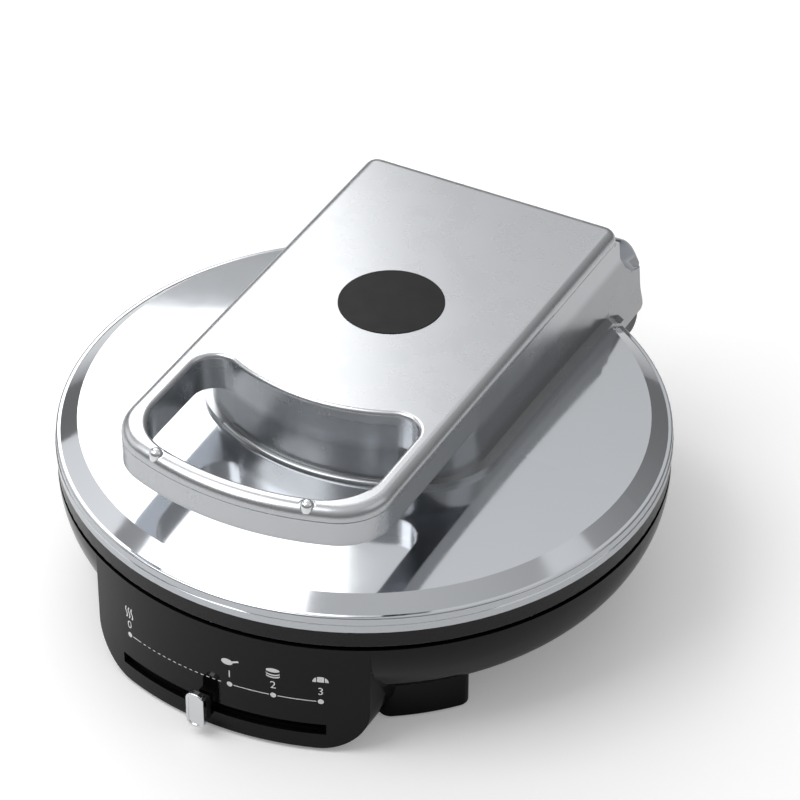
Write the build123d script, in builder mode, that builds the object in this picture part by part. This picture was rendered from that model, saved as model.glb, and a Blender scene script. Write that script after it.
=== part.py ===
from build123d import *
import math
import os

# Electric baking pan, in millimetres. The origin is on the axis of the round
# plates at table height, +Z is up, the front with the control panel faces -Y.
# Angles are counted from the front, positive towards +X.

os.makedirs("parts", exist_ok=True)

# Overall size: the lid's radius, which the round pieces follow
lid_radius = 170.0

# Base
foot_stand = 2.0            # table to the underside of the legs
base_radius = lid_radius - 0.5
base_rim_z = 72.2
bowl_round = 53.5           # radius of the bowl's side, seen in section
base_wall = 2.5
floor_opening_radius = base_radius - 71.5
plate_seat_radius = base_radius - 8.3   # bore of the rim that centres the lower plate
plate_ledge_width = 4.2
plate_ledge_depth = 3.0

# Legs and feet
leg_outer_radius = base_radius - 26.5
leg_depth = 25.0
leg_angle = 42.0
leg_half_span = 10.5
leg_corner = 7.0
leg_wall = 3.0
leg_hollow_height = 11.0
foot_radius = 8.0
foot_height = 5.0
foot_clearance = 0.15
foot_boss_wall = 2.2

# Control panel
panel_half_width = 83.5
panel_floor_z = 2.5
panel_corner = 26.0
panel_depth = 51.0
panel_hollow_top = 62.0
slot_half_angle = 21.6
slot_bottom_z = 12.4
slot_height = 7.0

# Mode slider
station_angles = (-19.4, 3.6, 12.0, 20.7)
slider_rest_angle = -1.7
carriage_half_angle = 2.8
track_radius = base_radius - 12.5   # middle of the curved channel
track_width = 11.0
track_wall = 2.0
track_height = 17.0
track_stand = 2.8           # feet that lift the channel off the panel's floor
track_half_angle = 24.3
track_slot_margin = 1.2     # degrees past the panel's slot
track_tab_radius = 4.0
track_tab_ring = track_radius - 14.0
track_tab_angle = 16.0
spring_sheet = 0.8
spring_width = 8.0
track_clearance = 0.3
detent_radius = 1.2
neck_width = 4.6
neck_clearance = 0.5
knob_width = 8.4
knob_height = 15.0
knob_gap = 1.0
knob_depth = 6.0
paddle_width = 11.0
paddle_height = 22.9
paddle_thickness = 3.6
paddle_center_z = 18.2
paddle_face_inset = 1.2
paddle_face_depth = 0.4
board_thickness = 1.6

# Seam and black lid frame
seam_gap = 1.8
frame_height = 11.0
frame_radius = lid_radius - 0.6
frame_wall = 2.5
frame_section = 8.4
frame_boss_radius = 4.0
frame_screw_count = 6
frame_edge_round = 1.5

# Chrome lid shell
lid_wall = 2.2
band_height = 9.4
band_step_height = 4.3
band_step = 0.4
band_land = 3.0
rim_round = 1.3
shoulder_width = 9.5
shoulder_rise = 7.0
dome_rise = 4.6

# Handle
handle_half_width = 79.4
handle_front = lid_radius - 16.0    # pan axis to the apex of the bowed front
handle_back = lid_radius - 15.0
handle_bow = 170.0
handle_corner = 32.0
handle_back_corner = 8.0
handle_top_z = 153.0
cover_height = 7.8          # the cover, down to its line with the lower moulding
handle_wall = 2.3
cover_edge_round = 6.2
opening_edge_round = 2.6
part_bevel = 0.5
loop_side_width = 11.4
loop_front_width = 10.2
loop_height = 14.6
loop_step = 0.05            # loop drawn in from the pedestal, so that the two cross cleanly
opening_front_corner = 33.0
opening_back = 66.0
opening_back_bow = 114.0
opening_back_corner = 14.0
opening_overlap = 0.3       # pedestal front run into the opening before it is cut

# Pedestal under the handle
foot_half_width = 84.0
pedestal_corner = 42.0
pedestal_back_corner = 4.0
pedestal_wall = 2.5
bead_width = 4.0            # foot of the pedestal on the lid
bead_height = 3.0
post_radius = 5.0
post_x = 58.0
post_front_y = -20.0
post_back_y = handle_back - 37.0
pad_radius = 6.0            # pads under the lid for the handle's screws
pad_depth = 8.0
cable_hole_radius = 8.0
cable_hole_y = handle_back - 35.0

# Badge and studs
badge_radius = 29.5
badge_y = 31.5
badge_thickness = 1.4
badge_recess = 1.0
badge_clearance = 0.1
stud_radius = 3.7
stud_x = 45.0
stud_inset = 4.2            # bar's outer edge to the stud's middle
stud_height = 2.5           # above the top of the handle
stud_seat_depth = 3.6
stud_clearance = 0.05
stud_notch = 0.5            # flat cut round each stud
stud_pad = 4.6

# Hinge
hinge_y = lid_radius + 2.0
float_travel = 4.0
ear_width = 14.0
ear_radius = 9.0
pin_radius = 2.0
pin_clearance = 0.05
pin_head_radius = 3.6
pin_head_height = 1.6
block_size = 6.0
block_clearance = 0.06
barrel_radius = 8.0
arm_width = 9.6
arm_gap = 3.8               # between an ear and its arm
arm_end_wall = 2.0
arm_rise = 18.25            # from the hinge's axis to the arm's top
lug_clearance = 0.4
lug_wall = 1.8
lug_drop = 2.0              # below the lid frame's top
lug_face_wall = 2.6
lug_end_radius = 8.2        # curve of each lug's top towards its end
lug_edge_drop = 20.0        # slope of each lug's outer top edge
pin_notch = 2.0             # above the hinge pin, in the lug's inner wall
hinge_box_top_z = 58.0
hinge_box_rear_y = hinge_y + 8.0
hinge_box_bottom_z = 30.0
hinge_box_depth = 60.5

# Plates, heaters and shields
plate_flange = 3.7
plate_seat_clearance = 0.5
plate_wall = 4.0
plate_ledge_clearance = 0.4
plate_gap = 0.5             # between the two plates' rims
lower_depth = 22.4          # rim of the lower plate to its cooking face
upper_depth = 6.6
plate_face_radius = plate_seat_radius - 13.2
plate_corner = 6.0
rib_height = 4.0
rib_width = 14.0
rib_gap_angle = 24.0
heater_radius = plate_face_radius - 48.0
heater_tube = 3.3
heater_clearance = 0.1
heater_gap_angle = 14.0
heater_tail_bend = 12.0
heater_tail = 12.0
plate_boss_radius = 5.0
plate_boss_height = 8.2
plate_boss_ring = heater_radius + 18.0
plate_boss_angle = 66.0
shield_sheet = 0.6
lower_shield_radius = plate_seat_radius - 23.2
shield_rim = 6.0
upper_shield_radius = plate_seat_radius - 21.2
shield_slope = 9.0
shield_clearance = 0.4

# Fasteners
screw_radius = 1.6
screw_hole_radius = 2.1
pilot_radius = 1.7
screw_head_radius = 3.4
screw_head_height = 2.2
counterbore_radius = 3.7
thread_length = 6.0

# Small electrical parts
thermostat_radius = 8.0
thermostat_height = 6.0
blade_width = 5.0
blade_thickness = 0.8
blade_length = 6.0
fuse_radius = 2.2
fuse_length = 16.0
fuse_y = 45.0
terminal_size = (40.0, 16.0, 13.0)
terminal_y = 55.0
terminal_bore = 2.5

# Bottom cover and mains gland
cover_sheet = 1.2
bottom_cover_radius = floor_opening_radius + 9.0
bottom_screw_ring = floor_opening_radius + 4.5
vent_count = 12
vent_ring = 62.0
vent_length = 26.0
vent_width = 4.0
gland_x = -100.0
gland_z = 45.0
gland_stub_radius = 11.0
gland_stub_end = base_radius - 29.5
gland_radius = 7.0
gland_bore = 4.0
gland_flange_radius = 9.5
gland_flange = 3.0
gland_length = 18.0
gland_stub_length = 30.0

# Levels that follow from the sizes above
lid_bottom_z = base_rim_z + seam_gap
frame_top_z = lid_bottom_z + frame_height
band_top_z = frame_top_z + band_height
shoulder_top_z = band_top_z + shoulder_rise
dome_top_z = shoulder_top_z + dome_rise
land_radius = lid_radius - band_land
shoulder_radius = land_radius - shoulder_width
shoulder_slope = shoulder_rise / shoulder_width
ledge_z = base_rim_z - plate_ledge_depth
ledge_inner_radius = plate_seat_radius - plate_ledge_width
bowl_center_r = base_radius - bowl_round
bowl_center_z = base_rim_z - 1.0
bowl_bottom_z = bowl_center_z - bowl_round
frame_inner_radius = frame_radius - frame_section
frame_boss_ring = frame_radius - frame_section / 2
handle_part_z = handle_top_z - cover_height
stud_top_z = handle_top_z + stud_height
hinge_z = (stud_top_z + float_travel) / 2
slot_middle_z = slot_bottom_z + slot_height / 2
opening_half_width = handle_half_width - loop_side_width
opening_front = handle_front - loop_front_width
loop_bottom_z = handle_part_z - loop_height
lower_rim_z = ledge_z + plate_flange
upper_rim_z = lower_rim_z + plate_gap
lower_face_z = lower_rim_z - lower_depth
upper_face_z = upper_rim_z + upper_depth
lower_back_z = lower_face_z - plate_wall
upper_back_z = upper_face_z + plate_wall
lower_boss_z = lower_back_z - plate_boss_height
upper_boss_z = upper_back_z + plate_boss_height
post_seat_z = bowl_bottom_z + 2 * base_wall
pad_bottom_z = dome_top_z - pad_depth
arm_outer_x = foot_half_width - lug_face_wall - lug_clearance
arm_inner_x = arm_outer_x - arm_width
ear_outer_x = arm_inner_x - arm_gap
ear_inner_x = ear_outer_x - ear_width
lug_inner_x = arm_inner_x - lug_clearance - lug_wall
lug_bottom_z = frame_top_z - lug_drop
ledge_under_z = ledge_z - base_wall
box_front_y = hinge_box_rear_y - hinge_box_depth
track_bottom_z = panel_floor_z + base_wall + track_stand
track_top_z = track_bottom_z + track_height
track_inner = track_radius - track_width / 2
track_outer = track_radius + track_width / 2
shield_edge = frame_radius - frame_wall - shield_clearance
post_places = [(x, y) for x in (-post_x, post_x) for y in (post_front_y, post_back_y)]
boss_angles = [s * a for s in (-1, 1) for a in (plate_boss_angle, 180 - plate_boss_angle)]


def polar(radius, angle):
    """Point at an angle from the front of the pan."""
    turn = math.radians(angle)
    return (radius * math.sin(turn), -radius * math.cos(turn))


def sector(inner, outer, start, end):
    """Plan face of a ring sector."""
    middle = (start + end) / 2
    with BuildSketch() as plan:
        with BuildLine():
            ThreePointArc(polar(outer, start), polar(outer, middle), polar(outer, end))
            Line(polar(outer, end), polar(inner, end))
            ThreePointArc(polar(inner, end), polar(inner, middle), polar(inner, start))
            Line(polar(inner, start), polar(outer, start))
        make_face()
    return plan.sketch


def outline(*points):
    """Face of a straight-sided outline."""
    with BuildSketch() as face:
        with BuildLine():
            Polyline(*points, close=True)
        make_face()
    return face.sketch


def bowed_outline(half_width, front, back, bow, front_corner, back_corner):
    """Plan with straight sides and a front edge bowed towards the user."""
    side_y = -front + bow - math.sqrt(bow**2 - half_width**2)
    with BuildSketch() as plan:
        with BuildLine():
            ThreePointArc((-half_width, side_y), (0, -front), (half_width, side_y))
            Line((half_width, side_y), (half_width, back))
            Line((half_width, back), (-half_width, back))
            Line((-half_width, back), (-half_width, side_y))
        make_face()
        fillet(plan.vertices().group_by(Axis.Y)[0], front_corner)
        fillet(plan.vertices().group_by(Axis.Y)[-1], back_corner)
    return plan.sketch


def handle_outline(inset):
    """Plan of the handle, drawn in by the given amount."""
    return bowed_outline(
        handle_half_width - inset,
        handle_front - inset,
        handle_back - inset,
        handle_bow - inset,
        handle_corner - inset,
        handle_back_corner - inset,
    )


def pedestal_outline(half_width, grow, back_corner):
    """Plan of the pedestal at one height, grown by the given amount at its sides and front."""
    return bowed_outline(
        half_width + grow,
        opening_back + opening_overlap + grow,
        handle_back + min(grow, 0),
        opening_back_bow + grow,
        pedestal_corner + grow,
        back_corner + min(grow, 0),
    )


def pedestal_block(grow):
    """Pedestal tapering from the lid to the handle, grown by the given amount."""
    with BuildPart() as block:
        with BuildSketch(Plane.XY.offset(frame_top_z)):
            add(pedestal_outline(foot_half_width, grow, pedestal_back_corner))
        with BuildSketch(Plane.XY.offset(handle_part_z)):
            add(pedestal_outline(handle_half_width, grow, handle_back_corner))
        loft(ruled=True)
    return block.part


def finger_outline(outset):
    """Plan of the finger opening, grown by the given amount on every side."""
    half_width = opening_half_width + outset
    front_bow = handle_bow - loop_front_width + outset
    back_bow = opening_back_bow - outset
    front_y = -opening_front - outset
    back_y = -opening_back + outset
    front_side = front_y + front_bow - math.sqrt(front_bow**2 - half_width**2)
    back_side = back_y + back_bow - math.sqrt(back_bow**2 - half_width**2)
    with BuildSketch() as plan:
        with BuildLine():
            ThreePointArc((-half_width, front_side), (0, front_y), (half_width, front_side))
            Line((half_width, front_side), (half_width, back_side))
            ThreePointArc((half_width, back_side), (0, back_y), (-half_width, back_side))
            Line((-half_width, back_side), (-half_width, front_side))
        make_face()
        fillet(plan.vertices().group_by(Axis.Y)[0], opening_front_corner + outset)
        fillet(plan.vertices().group_by(Axis.Y)[-1], opening_back_corner + outset)
    return plan.sketch


def circles(places, radius):
    """Equal circles at the given places."""
    with BuildSketch() as plan:
        with Locations(*places):
            Circle(radius)
    return plan.sketch


def screw_group(places, head_z, length):
    """Pan-head screws; a positive length points up from heads below, a negative one down."""
    with BuildPart() as group:
        with BuildSketch(Plane.XY.offset(head_z)):
            add(circles(places, screw_head_radius))
        extrude(amount=-math.copysign(screw_head_height, length))
        with BuildSketch(Plane.XY.offset(head_z)):
            add(circles(places, screw_radius))
        extrude(amount=length)
    return group.part


def dome_profile(rise, floor_z, rim_radius):
    """Section through the top of the lid shell, filled down to a floor."""
    with BuildSketch() as section:
        with BuildLine():
            Polyline(
                (0, dome_top_z + rise),
                (0, floor_z),
                (rim_radius, floor_z),
                (rim_radius, band_top_z + rise),
                (land_radius, band_top_z + rise),
                (shoulder_radius, shoulder_top_z + rise),
            )
            ThreePointArc(
                (shoulder_radius, shoulder_top_z + rise),
                (shoulder_radius / 2, dome_top_z - dome_rise / 4 + rise),
                (0, dome_top_z + rise),
            )
        make_face()
    return section.sketch


def lid_space(rise):
    """Space that the lid shell takes up under the handle."""
    with BuildPart() as space:
        with BuildSketch(Plane.XZ):
            add(dome_profile(rise, frame_top_z - 30, lid_radius + lug_clearance))
        revolve(axis=Axis.Z)
    return space.part


def panel_box(inset, top_z):
    """Panel housing behind the curved front, or its hollow when drawn in by a wall."""
    half_width = panel_half_width - inset
    back_y = panel_depth - base_radius - inset
    with BuildPart() as box:
        with BuildSketch(Plane.XY.offset(panel_floor_z + inset)):
            Circle(base_radius - inset)
            add(
                outline(
                    (-half_width, -base_radius),
                    (half_width, -base_radius),
                    (half_width, back_y),
                    (-half_width, back_y),
                ),
                mode=Mode.INTERSECT,
            )
        extrude(amount=top_z - panel_floor_z - inset)
        fillet(box.edges().filter_by(Axis.Y).group_by(Axis.Z)[0], panel_corner - inset)
    return box.part


def bowl_section(inset, top_z):
    """Right half of the bowl's section, drawn in by the given amount."""
    turn = (bowl_round - inset) * math.sin(math.radians(45))
    with BuildSketch() as section:
        with BuildLine():
            Polyline(
                (base_radius - inset, bowl_center_z),
                (base_radius - inset, base_rim_z),
                (0, base_rim_z),
                (0, bowl_bottom_z + inset),
                (bowl_center_r, bowl_bottom_z + inset),
            )
            ThreePointArc(
                (bowl_center_r, bowl_bottom_z + inset),
                (bowl_center_r + turn, bowl_center_z - turn),
                (base_radius - inset, bowl_center_z),
            )
        make_face()
        add(
            outline((0, 0), (lid_radius, 0), (lid_radius, top_z), (0, top_z)),
            mode=Mode.INTERSECT,
        )
    return section.sketch


def plate_section(face_z, back_z, rim_z, flange_z):
    """Right half of a cooking plate's section; its face looks at the rim's side."""
    up = 1 if rim_z > face_z else -1
    wall_top = ledge_inner_radius - plate_ledge_clearance
    rim_inner = wall_top - plate_wall / 2
    flange_outer = plate_seat_radius - plate_seat_clearance
    back_radius = plate_face_radius + 1
    with BuildSketch() as section:
        with BuildLine():
            Polyline(
                (0, face_z),
                (plate_face_radius - plate_corner, face_z),
                (plate_face_radius, face_z + up * plate_corner),
                (rim_inner, rim_z),
                (flange_outer, rim_z),
                (flange_outer, flange_z),
                (wall_top, flange_z),
                (back_radius + up * (flange_z - back_z) * 0.15, back_z + up * plate_corner / 2),
                (back_radius - plate_corner / 2, back_z),
                (heater_radius + rib_width / 2, back_z),
                (0, back_z),
                (0, face_z),
            )
        make_face()
    return section.sketch


def heater_part(level):
    """Tube heater: most of a turn, with both ends turned outwards at the back."""
    with BuildPart() as heater:
        with BuildLine() as route:
            turn = CenterArc((0, 0), heater_radius, 90 + heater_gap_angle, 360 - 2 * heater_gap_angle)
            first = JernArc(turn @ 0, turn % 0 * -1, heater_tail_bend, 90)
            Line(first @ 1, first @ 1 + (first % 1) * heater_tail)
            last = JernArc(turn @ 1, turn % 1, heater_tail_bend, -90)
            Line(last @ 1, last @ 1 + (last % 1) * heater_tail)
        path = route.wires()[0].moved(Location((0, 0, level)))
        with BuildSketch(Plane(origin=path @ 0, z_dir=path % 0)):
            Circle(heater_tube)
        sweep(path=path)
    return heater.part


def thermostat_part(place, seat_z, away):
    """Disc thermostat on the back of a plate, with two blades at its sides."""
    with BuildPart() as unit:
        with BuildSketch(Plane.XY.offset(seat_z)):
            with Locations(place):
                Circle(thermostat_radius)
        extrude(amount=away * thermostat_height)
        with BuildSketch(Plane.XY.offset(seat_z + away * (thermostat_height - blade_thickness))):
            with Locations(place):
                Rectangle(2 * (thermostat_radius + blade_length), blade_width)
        extrude(amount=-away * blade_thickness)
    return unit.part


def mirrored_profile(profile, inner_x, outer_x):
    """The same side profile built on the left and on the right."""
    with BuildPart() as pair:
        for start_x in (inner_x, -outer_x):
            with BuildSketch(Plane.YZ.offset(start_x)):
                add(profile)
            extrude(amount=outer_x - inner_x)
    return pair.part


# Base shell: bowl, panel housing, legs and hinge ears in one black moulding
leg_places = [side * angle for side in (-1, 1) for angle in (leg_angle, 180 - leg_angle)]
foot_places = [polar(leg_outer_radius - leg_depth / 2, angle) for angle in leg_places]
boss_places = [polar(plate_boss_ring, angle) for angle in boss_angles]
bottom_screw_places = [polar(bottom_screw_ring, 60 * k) for k in range(6)]
tab_places = [polar(track_tab_ring, side * track_tab_angle) for side in (-1, 1)]

with BuildPart() as base_shell:
    with BuildSketch(Plane.XZ):
        add(bowl_section(0, base_rim_z))
    revolve(axis=Axis.Z)
    # legs
    for place in leg_places:
        with BuildSketch(Plane.XY.offset(foot_stand)) as leg_plan:
            add(sector(leg_outer_radius - leg_depth, leg_outer_radius, place - leg_half_span, place + leg_half_span))
            fillet(leg_plan.vertices(), leg_corner)
        extrude(amount=bowl_center_z - bowl_round / 2 - foot_stand)
    add(panel_box(0, base_rim_z))
    # rear box
    with BuildSketch(Plane.YZ):
        add(
            outline(
                (box_front_y, hinge_box_top_z),
                (hinge_box_rear_y - base_wall, hinge_box_top_z),
                (hinge_box_rear_y, hinge_box_top_z - base_wall),
                (hinge_box_rear_y, hinge_box_bottom_z + 12),
                (hinge_box_rear_y - 9, hinge_box_bottom_z),
                (box_front_y, hinge_box_bottom_z),
            )
        )
    extrude(amount=ear_outer_x, both=True)
    # ears that carry the hinge pins
    for start_x in (ear_inner_x, -ear_outer_x):
        with BuildSketch(Plane.YZ.offset(start_x)):
            with Locations((hinge_y, hinge_z)):
                Circle(ear_radius)
            add(
                outline(
                    (hinge_y - ear_radius, hinge_z),
                    (hinge_y + ear_radius, hinge_z),
                    (hinge_box_rear_y, hinge_box_top_z - base_wall),
                    (box_front_y, hinge_box_top_z - base_wall),
                    (box_front_y, base_rim_z - base_wall),
                    (hinge_y - ear_radius, base_rim_z - base_wall),
                )
            )
        extrude(amount=ear_outer_x - ear_inner_x)
    # stub for the mains gland
    with BuildSketch(Plane.XZ.offset(-gland_stub_end)):
        with Locations((gland_x, gland_z)):
            Circle(gland_stub_radius)
    extrude(amount=gland_stub_length)
    # hollow of the bowl, with the ledge that carries the lower plate
    with BuildSketch(Plane.XZ):
        add(bowl_section(base_wall, ledge_under_z))
    revolve(axis=Axis.Z, mode=Mode.SUBTRACT)
    with BuildSketch(Plane.XY.offset(bowl_bottom_z - 1)):
        Circle(floor_opening_radius)
    extrude(amount=2 * base_wall, mode=Mode.SUBTRACT)
    with BuildSketch(Plane.XZ):
        add(
            outline(
                (0, ledge_under_z - 1),
                (ledge_inner_radius, ledge_under_z - 1),
                (ledge_inner_radius, ledge_z),
                (plate_seat_radius, ledge_z),
                (plate_seat_radius, hinge_z + ear_radius),
                (0, hinge_z + ear_radius),
            )
        )
    revolve(axis=Axis.Z, mode=Mode.SUBTRACT)
    add(panel_box(base_wall, panel_hollow_top), mode=Mode.SUBTRACT)
    with BuildSketch(Plane.YZ):
        add(
            outline(
                (box_front_y, hinge_box_top_z - base_wall),
                (hinge_box_rear_y - 2 * base_wall, hinge_box_top_z - base_wall),
                (hinge_box_rear_y - base_wall, hinge_box_top_z - 2 * base_wall),
                (hinge_box_rear_y - base_wall, hinge_box_bottom_z + 13),
                (hinge_box_rear_y - 10, hinge_box_bottom_z + base_wall),
                (box_front_y, hinge_box_bottom_z + base_wall),
            )
        )
    extrude(amount=ear_outer_x - base_wall, both=True, mode=Mode.SUBTRACT)
    # posts under the lower plate and bosses for the bottom cover
    with BuildSketch(Plane.XY.offset(bowl_bottom_z + base_wall * 0.7)):
        add(circles(boss_places, plate_boss_radius))
    extrude(amount=lower_boss_z - shield_sheet - bowl_bottom_z - base_wall * 0.7)
    with BuildSketch(Plane.XY.offset(bowl_bottom_z + base_wall / 2)):
        add(circles(bottom_screw_places, plate_boss_radius - 1))
    extrude(amount=2 * base_wall)
    with BuildSketch(Plane.XY.offset(bowl_bottom_z - 1)):
        add(circles(boss_places, counterbore_radius))
    extrude(amount=post_seat_z - bowl_bottom_z + 1, mode=Mode.SUBTRACT)
    with BuildSketch(Plane.XY.offset(bowl_bottom_z)):
        add(circles(boss_places, screw_hole_radius))
    extrude(amount=plate_boss_ring / 2, mode=Mode.SUBTRACT)
    with BuildSketch(Plane.XY.offset(bowl_bottom_z - 1)):
        add(circles(bottom_screw_places, pilot_radius))
    extrude(amount=4 * base_wall, mode=Mode.SUBTRACT)
    # hollow legs with a boss round each rubber foot
    for place in leg_places:
        with BuildSketch(Plane.XY.offset(foot_stand)) as leg_plan:
            add(
                sector(
                    leg_outer_radius - leg_depth + leg_wall,
                    leg_outer_radius - leg_wall,
                    place - leg_half_span * 0.84,
                    place + leg_half_span * 0.84,
                )
            )
            fillet(leg_plan.vertices(), leg_corner - leg_wall)
            with Locations(polar(leg_outer_radius - leg_depth / 2, place)):
                Circle(foot_radius + foot_clearance + foot_boss_wall, mode=Mode.SUBTRACT)
        extrude(amount=leg_hollow_height, mode=Mode.SUBTRACT)
    with BuildSketch(Plane.XY.offset(foot_stand)):
        add(circles(foot_places, foot_radius + foot_clearance))
    extrude(amount=foot_height - foot_stand, mode=Mode.SUBTRACT)
    # bosses under the slider's channel
    with BuildSketch(Plane.XY.offset(panel_floor_z + base_wall / 2)):
        add(circles(tab_places, track_tab_radius))
    extrude(amount=track_bottom_z - panel_floor_z - base_wall / 2)
    with BuildSketch(Plane.XY.offset(track_bottom_z)):
        add(circles(tab_places, pilot_radius))
    extrude(amount=-track_stand - base_wall / 2, mode=Mode.SUBTRACT)
    # slider slot, pin bores and gland bore
    with BuildSketch(Plane.XY.offset(slot_bottom_z)):
        add(sector(track_radius, base_radius + 5, -slot_half_angle, slot_half_angle))
    extrude(amount=slot_height, mode=Mode.SUBTRACT)
    with BuildSketch(Plane.YZ):
        with Locations((hinge_y, hinge_z)):
            Circle(pin_radius + pin_clearance)
    extrude(amount=ear_outer_x + 1, both=True, mode=Mode.SUBTRACT)
    with BuildSketch(Plane.XZ.offset(-gland_stub_end - 1)):
        with Locations((gland_x, gland_z)):
            Circle(gland_radius)
    extrude(amount=gland_stub_length + 2, mode=Mode.SUBTRACT)
base_shell.part.label = "base_shell"
export_step(base_shell.part, "parts/base_shell.step")

# Bottom cover: steel disc with radial vents
with BuildPart() as bottom_cover:
    with BuildSketch(Plane.XY.offset(bowl_bottom_z - cover_sheet)):
        Circle(bottom_cover_radius)
        with PolarLocations(vent_ring, vent_count):
            SlotOverall(vent_length, vent_width, mode=Mode.SUBTRACT)
        add(circles(bottom_screw_places, screw_hole_radius), mode=Mode.SUBTRACT)
    extrude(amount=cover_sheet)
bottom_cover.part.label = "bottom_cover"
export_step(bottom_cover.part, "parts/bottom_cover.step")

with BuildPart() as bottom_screws:
    add(screw_group(bottom_screw_places, bowl_bottom_z - cover_sheet, cover_sheet + 2 * base_wall))
bottom_screws.part.label = "bottom_screws"
export_step(bottom_screws.part, "parts/bottom_screws.step")

# Rubber feet: plugs in the legs
with BuildPart() as rubber_feet:
    with BuildSketch(Plane.XY):
        add(circles(foot_places, foot_radius))
    extrude(amount=foot_height)
    fillet(rubber_feet.edges().group_by(Axis.Z)[0], 0.8)
rubber_feet.part.label = "rubber_feet"
export_step(rubber_feet.part, "parts/rubber_feet.step")

# Lower cooking plate: cast aluminium with a heater rib and four bosses
with BuildPart() as lower_plate:
    with BuildSketch(Plane.XZ):
        add(plate_section(lower_face_z, lower_back_z, lower_rim_z, ledge_z))
    revolve(axis=Axis.Z)
    with BuildSketch(Plane.XY.offset(lower_back_z)):
        add(
            sector(
                heater_radius - rib_width / 2,
                heater_radius + rib_width / 2,
                rib_gap_angle - 180,
                180 - rib_gap_angle,
            )
        )
    extrude(amount=-rib_height)
    with BuildSketch(Plane.XY.offset(lower_back_z)):
        add(circles(boss_places, plate_boss_radius))
    extrude(amount=-plate_boss_height)
    with BuildSketch(Plane.XZ):
        with Locations((heater_radius, lower_back_z - rib_height)):
            Circle(heater_tube + heater_clearance)
    revolve(axis=Axis.Z, mode=Mode.SUBTRACT)
    with BuildSketch(Plane.XY.offset(lower_boss_z)):
        add(circles(boss_places, pilot_radius))
    extrude(amount=plate_boss_height, mode=Mode.SUBTRACT)
lower_plate.part.label = "lower_plate"
export_step(lower_plate.part, "parts/lower_plate.step")

with BuildPart() as lower_heater:
    add(heater_part(lower_back_z - rib_height))
lower_heater.part.label = "lower_heater"
export_step(lower_heater.part, "parts/lower_heater.step")

# Lower heat shield: steel dish between the plate and the wiring
with BuildPart() as lower_heat_shield:
    with BuildSketch(Plane.XZ):
        add(
            outline(
                (0, lower_boss_z - shield_sheet),
                (lower_shield_radius, lower_boss_z - shield_sheet),
                (lower_shield_radius, lower_boss_z + shield_rim),
                (lower_shield_radius - shield_sheet, lower_boss_z + shield_rim),
                (lower_shield_radius - shield_sheet, lower_boss_z),
                (0, lower_boss_z),
            )
        )
    revolve(axis=Axis.Z)
    with BuildSketch(Plane.XY.offset(lower_boss_z - 1)):
        add(circles(boss_places, screw_hole_radius))
        with Locations((0, terminal_y)):
            Circle(cable_hole_radius)
    extrude(amount=2, mode=Mode.SUBTRACT)
lower_heat_shield.part.label = "lower_heat_shield"
export_step(lower_heat_shield.part, "parts/lower_heat_shield.step")

with BuildPart() as lower_plate_screws:
    add(screw_group(boss_places, post_seat_z, lower_boss_z - post_seat_z + thread_length))
lower_plate_screws.part.label = "lower_plate_screws"
export_step(lower_plate_screws.part, "parts/lower_plate_screws.step")

with BuildPart() as lower_thermostat:
    add(thermostat_part((0, -fuse_y), lower_back_z, -1))
lower_thermostat.part.label = "lower_thermostat"
export_step(lower_thermostat.part, "parts/lower_thermostat.step")

# Thermal fuse in a saddle on the lower plate's back
with BuildPart() as thermal_fuse:
    with BuildSketch(Plane.YZ):
        with Locations((fuse_y, lower_back_z - fuse_radius)):
            Circle(fuse_radius)
    extrude(amount=fuse_length / 2, both=True)
    with BuildSketch(Plane.YZ):
        with Locations((fuse_y, lower_back_z - fuse_radius)):
            Circle(blade_thickness / 2)
    extrude(amount=fuse_length / 2 + blade_length, both=True)
    with BuildSketch(Plane.XY.offset(lower_back_z)):
        with Locations((0, fuse_y)):
            Rectangle(blade_width, 2 * fuse_radius + 4 * blade_thickness)
    extrude(amount=-2 * fuse_radius - blade_thickness)
thermal_fuse.part.label = "thermal_fuse"
export_step(thermal_fuse.part, "parts/thermal_fuse.step")

# Terminal block on the bottom cover
with BuildPart() as terminal_block:
    with BuildSketch(Plane.XY.offset(bowl_bottom_z)):
        with Locations((0, terminal_y)):
            Rectangle(terminal_size[0], terminal_size[1])
    extrude(amount=terminal_size[2])
    chamfer(terminal_block.edges().group_by(Axis.Z)[-1], 1)
    with BuildSketch(Plane.XZ.offset(-terminal_y - terminal_size[1])):
        with Locations((0, bowl_bottom_z + terminal_size[2] / 2)):
            with GridLocations(terminal_size[0] / 4, 1, 4, 1):
                Circle(terminal_bore)
    extrude(amount=2 * terminal_size[1], mode=Mode.SUBTRACT)
terminal_block.part.label = "terminal_block"
export_step(terminal_block.part, "parts/terminal_block.step")

# Mains gland: bushing for the cord, pushed into the stub at the back
with BuildPart() as mains_gland:
    with BuildSketch(Plane.XZ.offset(-gland_stub_end)):
        with Locations((gland_x, gland_z)):
            Circle(gland_radius)
    extrude(amount=gland_length - gland_flange)
    with BuildSketch(Plane.XZ.offset(-gland_stub_end)):
        with Locations((gland_x, gland_z)):
            Circle(gland_flange_radius)
    extrude(amount=-gland_flange)
    chamfer(mains_gland.edges().group_by(Axis.Y)[-1], 1)
    with BuildSketch(Plane.XZ.offset(-gland_stub_end - gland_flange)):
        with Locations((gland_x, gland_z)):
            Circle(gland_bore)
    extrude(amount=gland_length, mode=Mode.SUBTRACT)
mains_gland.part.label = "mains_gland"
export_step(mains_gland.part, "parts/mains_gland.step")

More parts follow.
